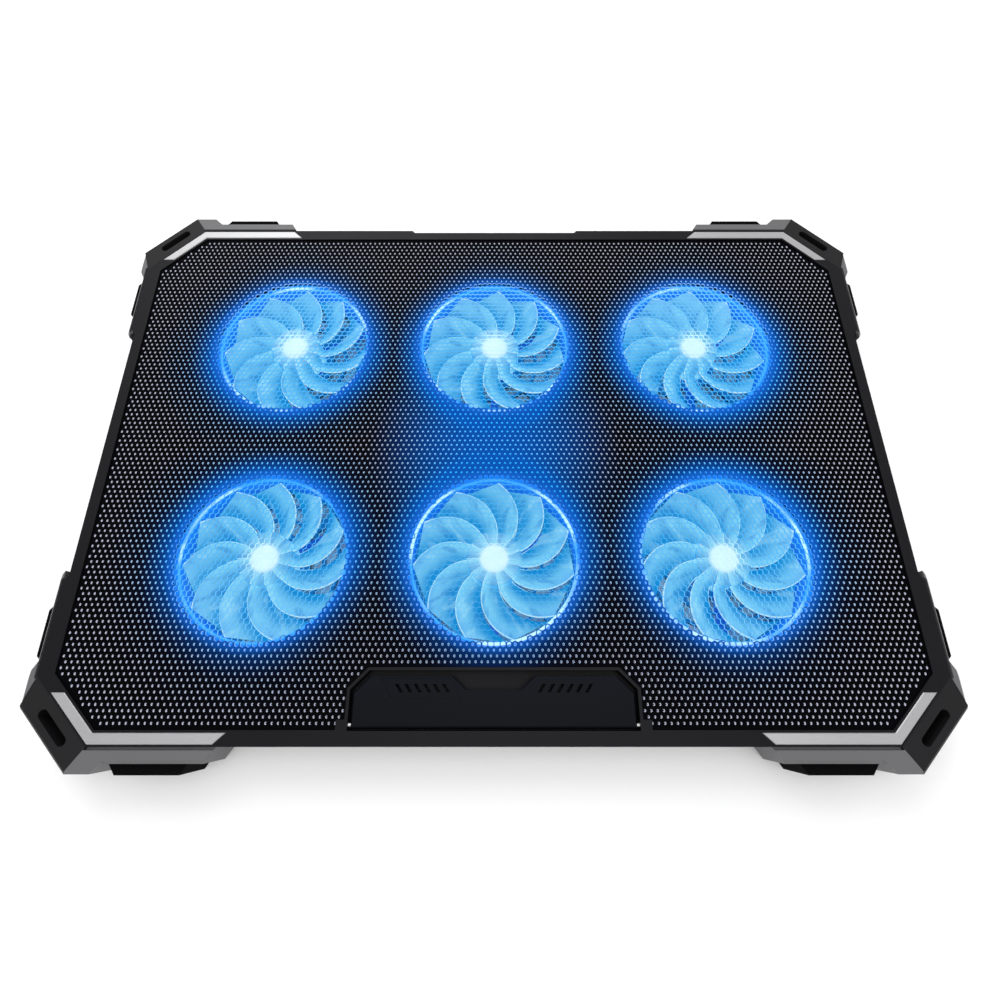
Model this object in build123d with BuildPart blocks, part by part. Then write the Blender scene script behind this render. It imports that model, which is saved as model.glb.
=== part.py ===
"""Laptop cooling pad: six lit fans under a perforated deck, in a low case
with armoured corners, a flip-up front stop and two fold-out rear legs.

Millimetres. X runs left to right, Y from the front edge to the rear edge and Z up.
The origin is on the table, under the centre of the case.
"""

import os
from math import cos, radians, sin, sqrt

from build123d import *

os.makedirs("parts", exist_ok=True)

# ---- driving dimensions ------------------------------------------------------------
half_width = 195.0  # case, without the corner guards
half_depth = 138.0
shoulder = 2.2  # how far the case bulges sideways behind each corner guard
foot_height = 4.0
floor_thickness = 2.0
wall = 2.0
parting = 18.0  # height where the middle frame ends and the bezel begins
case_top = 25.0
deck_top = 24.4
deck_thickness = 1.0
side_rim = 5.2  # bezel width seen from above, left and right
end_rim = 6.4  # bezel width at the front and rear
deck_cut = 22.6  # leg of the cut-off corners of the deck
diagonal_rim = 6.0  # bezel width across the cut-off corners
touch = 0.1  # clearance between pieces that are only laid together

floor_top = foot_height + floor_thickness
deck_bottom = deck_top - deck_thickness
deck_half_width = half_width - side_rim
deck_half_depth = half_depth - end_rim
guard_half_width = half_width + shoulder
deck_diagonal = deck_half_width + deck_half_depth - deck_cut  # x + y on the cut line
case_diagonal = deck_diagonal + diagonal_rim * sqrt(2)

# ---- fans --------------------------------------------------------------------------
fan_pitch_x = 108.4
fan_pitch_y = 117.2
fan_shift_y = 1.5  # the fans sit a little behind the middle
fan_height = 15.0
duct_outer = 42.0
duct_inner = 39.5
tip_radius = 38.6
hub_radius = 13.2
blade_count = 11
fan_centres = [
    (column * fan_pitch_x, row * fan_pitch_y / 2 + fan_shift_y)
    for row in (1, -1)
    for column in (-1, 0, 1)
]
fan_top = floor_top + fan_height
ear_radius = 46.0
ear_seat = floor_top + 3.5

# ---- front stop --------------------------------------------------------------------
pocket_half = 61.6
pocket_rear = -107.7
pocket_front = -(deck_half_depth + 0.3)
pocket_chamfer = 7.8
pocket_floor = 19.0
lip = 1.3  # bezel strip seen round the pocket
stop_half = 60.2
stop_rear = -110.2
stop_chamfer = 6.8
stop_thickness = 3.0
notch_half = 11.2
notch_depth = 5.6
stop_axis_y = -129.7
stop_axis_z = 23.1
stop_pin_radius = 1.0
stop_pin_reach = 65.5
running = 0.05  # radial clearance of a pin that turns

# ---- rear legs ---------------------------------------------------------------------
leg_centre = 100.0
leg_width = 50.0
leg_length = 25.3  # from its pin to its tip
leg_thickness = 5.0
leg_axis_y = 130.5
leg_axis_z = floor_top + 1.2
leg_pin_radius = 1.5
leg_pad_length = 3.5
pocket_wall = 1.5
leg_pocket_front = 104.2
leg_pocket_rear = 134.0
leg_pocket_top = 10.5
leg_side_gap = 1.0

# ---- rear controls -----------------------------------------------------------------
bay_half = 46.5  # the rear edge is set back over this half width
bay_depth = 1.5
bay_face = half_depth - bay_depth
board_bottom = 8.5
board_thickness = 1.6
board_top = board_bottom + board_thickness
usb_centres = (-34.0, -14.0)
usb_width = 13.2
usb_height = 5.8
usb_depth = 14.0
usb_shell = 0.4
usb_set_back = 1.0  # mouth of the socket behind the rear face
tongue_set_back = 4.6
dial_centre = (12.0, 126.2)
dial_radius = 11.5
dial_bottom = 11.2
dial_thickness = 4.0
button_x = 34.0
button_width = 9.0
button_height = 4.4

screw_points = [
    (side * x, y)
    for side in (-1, 1)
    for x, y in ((62, 126), (163, 126.5), (80, -126.5), (150, -126.5), (186, 0), (54.2, 0))
]
screw_radius = 1.5
screw_head_radius = 2.9
boss_top = 12.0
boss_seat = 4.0  # depth of the counterbore under each case screw
case_screw_seat = foot_height + boss_seat

# ---- armoured corners --------------------------------------------------------------
guard_diagonal = 325.0  # x + y on the outer face of the slotted block
guard_end = 148.4  # outer face of the lug, rear and front
guard_side = 201.9  # outer face of the lug, left and right
armour_top = 24.8
armour_end_face = 144.5
armour_end_tail = 115.8
armour_end_lug = 166.3
armour_side_face = 199.6
armour_side_tail = 63.9
armour_side_lug = 110.2
belt_top = 12.0
block_top = 24.6
slot_length = 18.8
slot_width = 4.2
slot_depth = 8.0
trim_bottom = 24.4
trim_top = 25.2
trim_diagonal = (300.3, 306.3)  # x + y on the inner and outer edges
trim_leg = (132.6, 137.2)  # y on the inner and outer edges
trim_end_x = 112.0
trim_end_y = 116.7
bumper_end = (127.4, 160.3)
bumper_end_face = 149.0
bumper_side = (78.1, 104.1)
bumper_side_face = 202.5
bumper_top = 21.5

# ---- insides of the fans -----------------------------------------------------------
ear_thickness = 2.5
bearing_radius = 3.2
bearing_height = 12.0
shaft_radius = 1.5
hub_bottom = floor_top + 2.6
hub_top = fan_top - 0.4
stator_height = 8.6
blade_middle = floor_top + 8.6

# ---- small parts -------------------------------------------------------------------
vent_count = 6
vent_start = 20.5
vent_pitch = 4.05
vent_y = -115.0
board_half = 45.0
board_front = 107.0
board_rear = 134.2
dial_teeth = 40
button_middle = dial_bottom + button_height / 2
button_back = 124.0
button_flange = bay_face - wall - 0.3
wire_radius = 0.8


def save(shape, name):
    """Labels a finished piece and writes its STEP file."""
    shape.label = name
    export_step(shape, f"parts/{name}.step")


# ---- outlines shared by several pieces ----------------------------------------------
with BuildSketch() as case_outline:
    cut_x = case_diagonal - half_depth
    cut_y = case_diagonal - guard_half_width
    with BuildLine():
        Polyline(
            (0, half_depth), (cut_x, half_depth), (guard_half_width, cut_y),
            (guard_half_width, 68.6), (half_width, 68.6 - shoulder), (half_width, 0),
        )
        mirror(about=Plane.YZ)
        mirror(about=Plane.XZ)
    make_face()

with BuildSketch() as deck_outline:
    with BuildLine():
        Polyline(
            (0, deck_half_depth), (deck_half_width - deck_cut, deck_half_depth),
            (deck_half_width, deck_half_depth - deck_cut), (deck_half_width, 0),
        )
        mirror(about=Plane.YZ)
        mirror(about=Plane.XZ)
    make_face()

with BuildSketch() as pocket_outline:
    with BuildLine():
        Polyline(
            (0, pocket_front), (pocket_half, pocket_front),
            (pocket_half, pocket_rear - pocket_chamfer),
            (pocket_half - pocket_chamfer, pocket_rear), (0, pocket_rear),
        )
        mirror(about=Plane.YZ)
    make_face()

with BuildSketch() as bay_outline:
    with BuildLine():
        Polyline(
            (-bay_half - bay_depth, half_depth), (-bay_half, bay_face),
            (bay_half, bay_face), (bay_half + bay_depth, half_depth), close=True,
        )
    make_face()

with BuildSketch() as trim_outline:
    with BuildLine():
        Polyline(
            (trim_end_x, trim_leg[0]), (trim_end_x + 5.0, trim_leg[1]),
            (trim_diagonal[1] - trim_leg[1], trim_leg[1]),
            (trim_diagonal[1] - trim_end_y, trim_end_y), (trim_diagonal[0] - trim_end_y, trim_end_y),
            (trim_diagonal[0] - trim_leg[0], trim_leg[0]), close=True,
        )
    make_face()

with BuildSketch() as guard_outline:
    with BuildLine():
        Polyline(
            (cut_x + touch, half_depth + touch), (guard_diagonal - guard_end, guard_end),
            (guard_side, guard_diagonal - guard_side), (guard_half_width + touch, cut_y + touch),
            close=True,
        )
    make_face()


# ---- bottom cover ------------------------------------------------------------------
well_width = leg_width + 2 * leg_side_gap
well_middle_y = (leg_pocket_front + leg_pocket_rear) / 2
well_depth = leg_pocket_rear - leg_pocket_front
ear_spread = ear_radius / sqrt(2)
ear_points = [(x + s * ear_spread, y + s * ear_spread) for x, y in fan_centres for s in (-1, 1)]

with BuildPart() as bottom_cover:
    with BuildSketch(Plane.XY.offset(foot_height)):
        add(case_outline.sketch)
        offset(amount=-wall - touch, kind=Kind.INTERSECTION, mode=Mode.REPLACE)
        # Air inlets: rings of slots with four spokes under each fan.
        with BuildSketch(mode=Mode.SUBTRACT):
            with Locations(*fan_centres):
                for outer, inner in ((38.0, 32.0), (30.4, 24.4), (22.8, 16.8)):
                    Circle(outer)
                    Circle(inner, mode=Mode.SUBTRACT)
                Rectangle(2 * duct_inner, 3.0, rotation=45, mode=Mode.SUBTRACT)
                Rectangle(2 * duct_inner, 3.0, rotation=135, mode=Mode.SUBTRACT)
    extrude(amount=floor_thickness)
    # Posts that the fans are screwed to.
    with BuildSketch(Plane.XY.offset(floor_top)):
        with Locations(*ear_points):
            Circle(3.5)
    extrude(amount=ear_seat - floor_top)
    with BuildSketch(Plane.XY.offset(ear_seat)):
        with Locations(*ear_points):
            Circle(1.1)
    extrude(amount=-3.2, mode=Mode.SUBTRACT)
    # Leg wells, closed above, with thick cheeks for the leg pins.
    for side in (-1, 1):
        with BuildSketch(Plane.XY.offset(foot_height)):
            with Locations((side * leg_centre, well_middle_y)):
                Rectangle(well_width + 2 * pocket_wall, well_depth + 2 * pocket_wall)
            with Locations((side * leg_centre, leg_axis_y)):
                Rectangle(well_width + 8.0, 7.0)
        extrude(amount=leg_pocket_top + pocket_wall - foot_height)
        with BuildSketch(Plane.XY.offset(foot_height)):
            with Locations((side * leg_centre, well_middle_y)):
                Rectangle(well_width, well_depth)
        extrude(amount=leg_pocket_top - foot_height, mode=Mode.SUBTRACT)
        with BuildSketch(Plane.YZ.offset(side * leg_centre)):
            with Locations((leg_axis_y, leg_axis_z)):
                Circle(leg_pin_radius + running)
        extrude(amount=leg_width / 2 + 4.5, both=True, mode=Mode.SUBTRACT)
    # Screw bosses with a counterbore from below.
    with BuildSketch(Plane.XY.offset(floor_top)):
        with Locations(*screw_points):
            Circle(4.0)
    extrude(amount=boss_top - floor_top)
    with Locations(*[Location((x, y, foot_height), (180, 0, 0)) for x, y in screw_points]):
        CounterBoreHole(radius=1.7, counter_bore_radius=3.2, counter_bore_depth=boss_seat, depth=boss_top)
    # Pillars under the control board.
    with BuildSketch(Plane.XY.offset(floor_top)):
        with Locations((0, 119)):
            with GridLocations(84, 18, 2, 2):
                Circle(2.5)
    extrude(amount=board_bottom - floor_top)
save(bottom_cover.part, "bottom_cover")

# ---- middle frame: the side walls between the bottom cover and the bezel -----------
with BuildPart() as middle_frame:
    with BuildSketch(Plane.XY.offset(foot_height)):
        add(case_outline.sketch)
        offset(amount=-wall, kind=Kind.INTERSECTION, mode=Mode.SUBTRACT)
    extrude(amount=parting - foot_height)
    # A ledge that rests on the bottom cover, left out round the leg wells.
    with BuildSketch(Plane.XY.offset(floor_top)):
        add(case_outline.sketch)
        with BuildSketch(mode=Mode.SUBTRACT):
            add(case_outline.sketch)
            offset(amount=-wall - 2.5, kind=Kind.INTERSECTION, mode=Mode.REPLACE)
        with Locations(*[(side * leg_centre, leg_axis_y - 1.5) for side in (-1, 1)]):
            Rectangle(well_width + 9.0, 15.0 - 2 * touch, mode=Mode.SUBTRACT)
    extrude(amount=1.5)
    # Control bay: the rear face is set back, and backed by a step inside.
    with BuildSketch(Plane.XY.offset(floor_top)):
        with Locations((0, half_depth - wall - bay_depth / 2)):
            Rectangle(2 * bay_half + 6, bay_depth)
    extrude(amount=parting - floor_top)
    with BuildSketch(Plane.XY.offset(foot_height)):
        add(bay_outline.sketch)
    extrude(amount=parting, mode=Mode.SUBTRACT)
    with BuildSketch(Plane.XZ.offset(-half_depth)):
        with Locations(*[(x, board_top + usb_height / 2) for x in usb_centres]):
            Rectangle(usb_width + 0.8, usb_height + 0.8)
        with Locations((dial_centre[0], dial_bottom + dial_thickness / 2)):
            Rectangle(17.0, dial_thickness + 0.8)
        with Locations((button_x, button_middle)):
            Rectangle(button_width + 0.6, button_height + 0.6)
    extrude(amount=2 * wall, mode=Mode.SUBTRACT)
save(middle_frame.part, "middle_frame")

# ---- bezel -------------------------------------------------------------------------
ledge = 3.0
rim_bottom = deck_bottom - 1.5
with BuildPart() as top_frame:
    with BuildSketch(Plane.XY.offset(rim_bottom)):
        add(case_outline.sketch)
        add(deck_outline.sketch, mode=Mode.SUBTRACT)
    extrude(amount=case_top - rim_bottom)
    with BuildSketch(Plane.XY.offset(parting)):
        add(case_outline.sketch)
        offset(amount=-wall, kind=Kind.INTERSECTION, mode=Mode.SUBTRACT)
    extrude(amount=rim_bottom - parting)
    with BuildSketch(Plane.XY.offset(rim_bottom)):
        add(deck_outline.sketch)
        offset(amount=-ledge, kind=Kind.INTERSECTION, mode=Mode.SUBTRACT)
    extrude(amount=deck_bottom - rim_bottom)
    # Ribs that carry the deck between the fans.
    with BuildSketch(Plane.XY.offset(rim_bottom - 1.0)):
        Rectangle(2 * deck_half_width, 2.4)
        with Locations((-54.2, 0), (54.2, 0)):
            Rectangle(2.4, 2 * deck_half_depth)
    extrude(amount=deck_bottom - rim_bottom + 1.0)
    # Recess for the front stop, with a lip that shows round it.
    with BuildSketch(Plane.XY.offset(pocket_floor - 1.5)):
        add(pocket_outline.sketch)
        offset(amount=3.5, kind=Kind.INTERSECTION, mode=Mode.REPLACE)
    extrude(amount=deck_bottom - pocket_floor + 1.5)
    with BuildSketch(Plane.XY.offset(deck_bottom)):
        add(pocket_outline.sketch)
        offset(amount=lip, kind=Kind.INTERSECTION, mode=Mode.REPLACE)
        with Locations((0, stop_axis_y)):
            Rectangle(2 * (stop_pin_reach + 1.0), 4.4)
    extrude(amount=case_top - deck_bottom)
    with BuildSketch(Plane.XY.offset(pocket_floor)):
        add(pocket_outline.sketch)
    extrude(amount=case_top, mode=Mode.SUBTRACT)
    with BuildSketch(Plane.YZ):
        with Locations((stop_axis_y, stop_axis_z)):
            Circle(stop_pin_radius + running)
    extrude(amount=stop_pin_reach + 0.2, both=True, mode=Mode.SUBTRACT)
    # Posts that the case screws bite into.
    with BuildSketch(Plane.XY.offset(boss_top)):
        with Locations(*screw_points):
            Circle(3.5)
    extrude(amount=deck_bottom - boss_top)
    with BuildSketch(Plane.XY.offset(boss_top)):
        with Locations(*screw_points):
            Circle(screw_radius + running)
    extrude(amount=8.0, mode=Mode.SUBTRACT)
    # Control bay.
    with BuildSketch(Plane.XY.offset(parting)):
        with Locations((0, half_depth - wall - bay_depth / 2)):
            Rectangle(2 * bay_half + 6, bay_depth)
    extrude(amount=rim_bottom - parting)
    with BuildSketch(Plane.XY.offset(parting)):
        add(bay_outline.sketch)
    extrude(amount=case_top, mode=Mode.SUBTRACT)
    # Shallow beds for the bright corner trims.
    with BuildSketch(Plane.XY.offset(trim_bottom)):
        add(trim_outline.sketch)
        mirror(about=Plane.YZ)
        mirror(about=Plane.XZ)
        offset(amount=touch, kind=Kind.INTERSECTION, mode=Mode.REPLACE)
    extrude(amount=case_top, mode=Mode.SUBTRACT)
save(top_frame.part, "top_frame")

# ---- deck --------------------------------------------------------------------------
with BuildPart() as mesh_panel:
    with BuildSketch(Plane.XY.offset(deck_bottom)):
        add(deck_outline.sketch)
        offset(amount=-touch, kind=Kind.INTERSECTION, mode=Mode.REPLACE)
        with BuildSketch(mode=Mode.SUBTRACT):
            add(pocket_outline.sketch)
            offset(amount=lip + touch, kind=Kind.INTERSECTION, mode=Mode.REPLACE)
            with Locations((0, stop_axis_y)):
                Rectangle(2 * (stop_pin_reach + 1.0 + touch), 4.4 + 2 * touch)
    extrude(amount=deck_thickness)
save(mesh_panel.part, "mesh_panel")

# ---- armoured corners, drawn at the rear right and mirrored to the other three -----
corner_names = {(1, 1): "rear_right", (-1, 1): "rear_left", (1, -1): "front_right", (-1, -1): "front_left"}


def save_in_corners(shape, name):
    """Saves a rear right piece and its mirror images in the other corners."""
    for (x_side, y_side), corner in corner_names.items():
        piece = shape
        if x_side < 0:
            piece = mirror(piece, about=Plane.YZ)
        if y_side < 0:
            piece = mirror(piece, about=Plane.XZ)
        save(piece, f"{name}_{corner}")


with BuildPart() as corner_armour:
    # Two wings, each with a thick lug next to the corner.
    with BuildSketch(Plane.XY.offset(foot_height)):
        with BuildLine():
            Polyline(
                (armour_end_tail, half_depth + touch), (armour_end_tail + 4.1, armour_end_face),
                (armour_end_lug - 4.3, armour_end_face), (armour_end_lug, guard_end),
                (guard_diagonal - guard_end, guard_end),
                (case_diagonal - half_depth + touch, half_depth + touch), close=True,
            )
        make_face()
        with BuildLine():
            Polyline(
                (guard_half_width + touch, armour_side_tail),
                (armour_side_face, armour_side_tail + 4.3),
                (armour_side_face, armour_side_lug - 4.2), (guard_side, armour_side_lug),
                (guard_side, guard_diagonal - guard_side),
                (guard_half_width + touch, case_diagonal - guard_half_width + touch), close=True,
            )
        make_face()
    extrude(amount=armour_top - foot_height)
    chamfer(
        corner_armour.faces().sort_by(Axis.Z)[-1].edges().filter_by(Axis.X).sort_by(Axis.Y)[-2:]
        + corner_armour.faces().sort_by(Axis.Z)[-2].edges().filter_by(Axis.Y).sort_by(Axis.X)[-2:],
        length=1.4,
    )
    # A low belt under the slotted block joins the wings.
    with BuildSketch(Plane.XY.offset(foot_height)):
        add(guard_outline.sketch)
    extrude(amount=belt_top - foot_height)
    # A sunk strip along the case makes the dark line beside the trims.
    with BuildSketch(Plane.XY.offset(armour_top - 1.6)):
        add(case_outline.sketch)
        offset(amount=touch + 1.2, kind=Kind.INTERSECTION, mode=Mode.REPLACE)
    extrude(amount=armour_top, mode=Mode.SUBTRACT)
save_in_corners(corner_armour.part, "corner_armour")

with BuildPart() as corner_block:
    with BuildSketch(Plane.XY.offset(belt_top)):
        add(guard_outline.sketch)
    extrude(amount=block_top - belt_top)
    chamfer(corner_block.faces().sort_by(Axis.Z)[-1].edges().sort_by(Axis((0, 0, 0), (1, 1, 0)))[-1],
            length=1.2)
    with BuildSketch(Plane.XY.offset(block_top)):
        slot_place = (case_diagonal + guard_diagonal) / 4
        with Locations((slot_place + 27.35, slot_place - 27.35)):
            SlotOverall(slot_length, slot_width, rotation=-45)
    extrude(amount=-slot_depth, mode=Mode.SUBTRACT)
save_in_corners(corner_block.part, "corner_block")

with BuildPart() as corner_trim:
    with BuildSketch(Plane.XY.offset(trim_bottom)):
        add(trim_outline.sketch)
    extrude(amount=trim_top - trim_bottom)
    chamfer(corner_trim.faces().sort_by(Axis.Z)[-1].edges(), length=0.3)
save_in_corners(corner_trim.part, "corner_trim")

with BuildPart() as corner_foot:
    # A rubber sole under the corner, turned up outside as two bumpers.
    with BuildSketch(Plane.XY):
        with BuildLine():
            Polyline(
                (bumper_end[0], armour_end_face + touch), (bumper_end[0] + 2.8, bumper_end_face),
                (bumper_end[1] - 3.2, bumper_end_face), (bumper_end[1], armour_end_face + touch),
                (armour_side_face + touch, bumper_side[1]), (bumper_side_face, bumper_side[1] - 2.5),
                (bumper_side_face, bumper_side[0] + 3.3), (armour_side_face + touch, bumper_side[0]),
                (guard_half_width - 14.0, bumper_side[0]), (bumper_end[0] + 3.0, 130.0), close=True,
            )
        make_face()
    extrude(amount=foot_height)
    with BuildSketch(Plane.XY.offset(foot_height)):
        add(corner_foot.faces().sort_by(Axis.Z)[-1])
        with BuildLine():
            Polyline(
                (0, 0), (0, armour_end_face + touch), (bumper_end[1], armour_end_face + touch),
                (armour_side_face + touch, bumper_side[1]), (armour_side_face + touch, 0), close=True,
            )
        make_face(mode=Mode.SUBTRACT)
    extrude(amount=bumper_top - foot_height)
save_in_corners(corner_foot.part, "corner_foot")

# ---- fans --------------------------------------------------------------------------
with BuildPart() as fan_frame:
    with BuildSketch(Plane.XY.offset(floor_top)):
        Circle(duct_outer)
        Circle(duct_inner, mode=Mode.SUBTRACT)
    extrude(amount=fan_height)
    with BuildSketch(Plane.XY.offset(floor_top)):
        Circle(hub_radius - 0.4)
        with PolarLocations(hub_radius + 12.0, 3, start_angle=30):
            Rectangle(27.0, 4.0)
    extrude(amount=1.8)
    with BuildSketch(Plane.XY.offset(ear_seat)):
        for turn in (45, 225):
            with PolarLocations(ear_radius, 1, start_angle=turn):
                Circle(4.2)
            with PolarLocations(ear_radius - 2.6, 1, start_angle=turn):
                Rectangle(5.2, 8.4)
    extrude(amount=ear_thickness)
    with BuildSketch(Plane.XY.offset(ear_seat)):
        with PolarLocations(ear_radius, 2, start_angle=45):
            Circle(1.3)
    extrude(amount=ear_thickness, mode=Mode.SUBTRACT)
    with BuildSketch(Plane.XY.offset(floor_top)):
        Circle(bearing_radius)
    extrude(amount=bearing_height)
    with BuildSketch(Plane.XY.offset(floor_top + bearing_height)):
        Circle(shaft_radius + running)
    extrude(amount=1.0 - bearing_height, mode=Mode.SUBTRACT)

with BuildPart() as blade:
    # A leaf that sweeps forward and flattens from its root to its tip.
    for radius, swirl, pitch, chord in (
        (hub_radius - 0.8, 0, -42, 10.0), (25.0, 14, -34, 16.4), (tip_radius - 1.5, 36, -26, 22.8)
    ):
        blade_plane = Plane(
            origin=(radius * cos(radians(swirl)), radius * sin(radians(swirl)), blade_middle),
            x_dir=(-sin(radians(swirl)), cos(radians(swirl)), 0),
            z_dir=(cos(radians(swirl)), sin(radians(swirl)), 0),
        )
        with BuildSketch(blade_plane):
            Rectangle(chord, 1.1, rotation=pitch)
    loft()

with BuildPart() as fan_rotor:
    with BuildSketch(Plane.XY.offset(hub_bottom)):
        Circle(hub_radius)
    extrude(amount=hub_top - hub_bottom)
    with BuildSketch(Plane.XY.offset(hub_bottom)):
        Circle(hub_radius - 1.4)
    extrude(amount=hub_top - hub_bottom - 1.2, mode=Mode.SUBTRACT)
    with BuildSketch(Plane.XY.offset(floor_top + 1.4)):
        Circle(shaft_radius)
    extrude(amount=hub_top - floor_top - 2.0)
    with PolarLocations(0, blade_count):
        add(blade.part)
    fillet(fan_rotor.faces().sort_by(Axis.Z)[-1].edges(), radius=1.0)

with BuildPart() as fan_stator:
    with BuildSketch(Plane.XY.offset(floor_top + 1.8)):
        Circle(bearing_radius + 3.0)
        with PolarLocations(7.4, 4):
            Rectangle(5.0, 2.6)
        with PolarLocations(9.9, 4):
            Rectangle(1.6, 8.0)
        Circle(bearing_radius + touch, mode=Mode.SUBTRACT)
    extrude(amount=stator_height)

for index, (x, y) in enumerate(fan_centres, start=1):
    place = Location((x, y, 0))
    save(fan_frame.part.moved(place), f"fan_{index}_frame")
    save(fan_rotor.part.moved(place), f"fan_{index}_rotor")
    save(fan_stator.part.moved(place), f"fan_{index}_stator")

with BuildPart() as fan_lights:
    with BuildSketch(Plane.XY.offset(floor_top + 1.8 + stator_height)):
        with Locations(*fan_centres):
            Circle(bearing_radius + 3.0)
            Circle(bearing_radius + touch, mode=Mode.SUBTRACT)
    extrude(amount=1.0)
save(fan_lights.part, "fan_light_rings")

with BuildPart() as fan_screws:
    with BuildSketch(Plane.XY.offset(floor_top + 0.5)):
        with Locations(*ear_points):
            Circle(1.1)
    extrude(amount=ear_seat + ear_thickness - floor_top - 0.5)
    with BuildSketch(Plane.XY.offset(ear_seat + ear_thickness)):
        with Locations(*ear_points):
            Circle(2.0)
    extrude(amount=1.4)
save(fan_screws.part, "fan_screws")

with BuildPart() as case_screws:
    with BuildSketch(Plane.XY.offset(case_screw_seat - 2.4)):
        with Locations(*screw_points):
            Circle(screw_head_radius)
            RegularPolygon(1.6, 6, mode=Mode.SUBTRACT)
    extrude(amount=2.4)
    with BuildSketch(Plane.XY.offset(case_screw_seat - 1.2)):
        with Locations(*screw_points):
            Circle(screw_radius)
    extrude(amount=12.2)
save(case_screws.part, "case_screws")

# ---- front stop --------------------------------------------------------------------
with BuildPart() as front_stop:
    stop_bottom = stop_axis_z - stop_thickness / 2
    with BuildSketch(Plane.XY.offset(stop_bottom)):
        with BuildLine():
            Polyline(
                (0, stop_axis_y), (stop_half, stop_axis_y), (stop_half, stop_rear - stop_chamfer),
                (stop_half - stop_chamfer, stop_rear), (notch_half + 6.3, stop_rear),
                (notch_half, stop_rear - notch_depth), (0, stop_rear - notch_depth),
            )
            mirror(about=Plane.YZ)
        make_face()
    extrude(amount=stop_thickness)
    chamfer(front_stop.faces().sort_by(Axis.Z)[-1].edges().filter_by(Axis.X, reverse=True), length=0.5)
    with BuildSketch(Plane.YZ):
        with Locations((stop_axis_y, stop_axis_z)):
            Circle(stop_thickness / 2)
    extrude(amount=stop_half, both=True)
    # Slanted vents, mirrored about the middle, inside a scribed outline.
    with BuildSketch(Plane.XY.offset(stop_bottom)):
        for side in (-1, 1):
            for step in range(vent_count):
                with Locations((side * (vent_start + step * vent_pitch), vent_y)):
                    with BuildSketch(mode=Mode.PRIVATE) as vent:
                        with BuildLine():
                            Polyline(
                                (-0.8 - side * 1.1, -1.7), (0.8 - side * 1.1, -1.7),
                                (0.8 + side * 1.1, 1.7), (-0.8 + side * 1.1, 1.7), close=True,
                            )
                        make_face()
                    add(vent.sketch)
    extrude(amount=stop_thickness, mode=Mode.SUBTRACT)
    with BuildSketch(Plane.XY.offset(stop_bottom + stop_thickness)):
        for side in (-1, 1):
            near = side * (vent_start - 4.5)
            far = side * (vent_start + vent_count * vent_pitch + 1.5)
            with BuildLine() as scribe:
                Polyline(
                    (near - side * 2.6, vent_y - 4.2), (near + side * 2.6, vent_y + 4.2),
                    (far + side * 2.6, vent_y + 4.2), (far - side * 2.6, vent_y - 4.2), close=True,
                )
            make_face()
            offset(scribe.line, amount=-0.5, kind=Kind.INTERSECTION, mode=Mode.SUBTRACT)
    extrude(amount=-0.4, mode=Mode.SUBTRACT)
    for side in (-1, 1):
        with BuildSketch(Plane.YZ.offset(side * stop_half)):
            with Locations((stop_axis_y, stop_axis_z)):
                Circle(stop_pin_radius + running)
        extrude(amount=-side * 8.0, mode=Mode.SUBTRACT)
save(front_stop.part, "front_stop")

with BuildPart() as stop_pins:
    for side in (-1, 1):
        with BuildSketch(Plane.YZ.offset(side * (stop_half - 7.5))):
            with Locations((stop_axis_y, stop_axis_z)):
                Circle(stop_pin_radius)
        extrude(amount=side * (stop_pin_reach - stop_half + 7.5))
save(stop_pins.part, "stop_pins")

# ---- rear legs ---------------------------------------------------------------------
for side, name in ((-1, "left"), (1, "right")):
    leg_x = side * leg_centre
    leg_bottom = leg_axis_z - leg_thickness / 2
    leg_tip = leg_axis_y - leg_length + leg_pad_length
    with BuildPart() as leg:
        with BuildSketch(Plane.XY.offset(leg_bottom)):
            with Locations((leg_x, (leg_axis_y + leg_tip) / 2)):
                Rectangle(leg_width, leg_axis_y - leg_tip)
        extrude(amount=leg_thickness)
        with BuildSketch(Plane.YZ.offset(leg_x)):
            with Locations((leg_axis_y, leg_axis_z)):
                Circle(leg_thickness / 2)
        extrude(amount=leg_width / 2, both=True)
        # Hollowed from above, with ribs, and a finger groove below.
        with BuildSketch(Plane.XY.offset(leg_bottom + 1.8)):
            with Locations((leg_x, (leg_axis_y - 4.0 + leg_tip + 2.0) / 2)):
                with GridLocations(leg_width / 3, 0, 3, 1):
                    Rectangle(leg_width / 3 - 2.4, leg_axis_y - leg_tip - 6.0)
        extrude(amount=leg_thickness, mode=Mode.SUBTRACT)
        with BuildSketch(Plane.XY.offset(leg_bottom)):
            with Locations((leg_x, leg_tip + 4.0)):
                SlotOverall(20.0, 4.0)
        extrude(amount=0.9, mode=Mode.SUBTRACT)
        with BuildSketch(Plane.YZ.offset(leg_x)):
            with Locations((leg_axis_y, leg_axis_z)):
                Circle(leg_pin_radius + running)
        extrude(amount=leg_width / 2, both=True, mode=Mode.SUBTRACT)
    save(leg.part, f"rear_leg_{name}")

    with BuildPart() as leg_pad:
        with BuildSketch(Plane.XY.offset(leg_bottom)):
            with Locations((leg_x, leg_tip - leg_pad_length / 2)):
                Rectangle(leg_width - 2.0, leg_pad_length)
        extrude(amount=leg_thickness)
        fillet(leg_pad.edges().filter_by(Axis.X).group_by(Axis.Y)[0], radius=1.6)
    save(leg_pad.part, f"leg_pad_{name}")

    with BuildPart() as leg_pin:
        with BuildSketch(Plane.YZ.offset(leg_x)):
            with Locations((leg_axis_y, leg_axis_z)):
                Circle(leg_pin_radius)
        extrude(amount=leg_width / 2 + 4.2, both=True)
    save(leg_pin.part, f"leg_pin_{name}")

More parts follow.
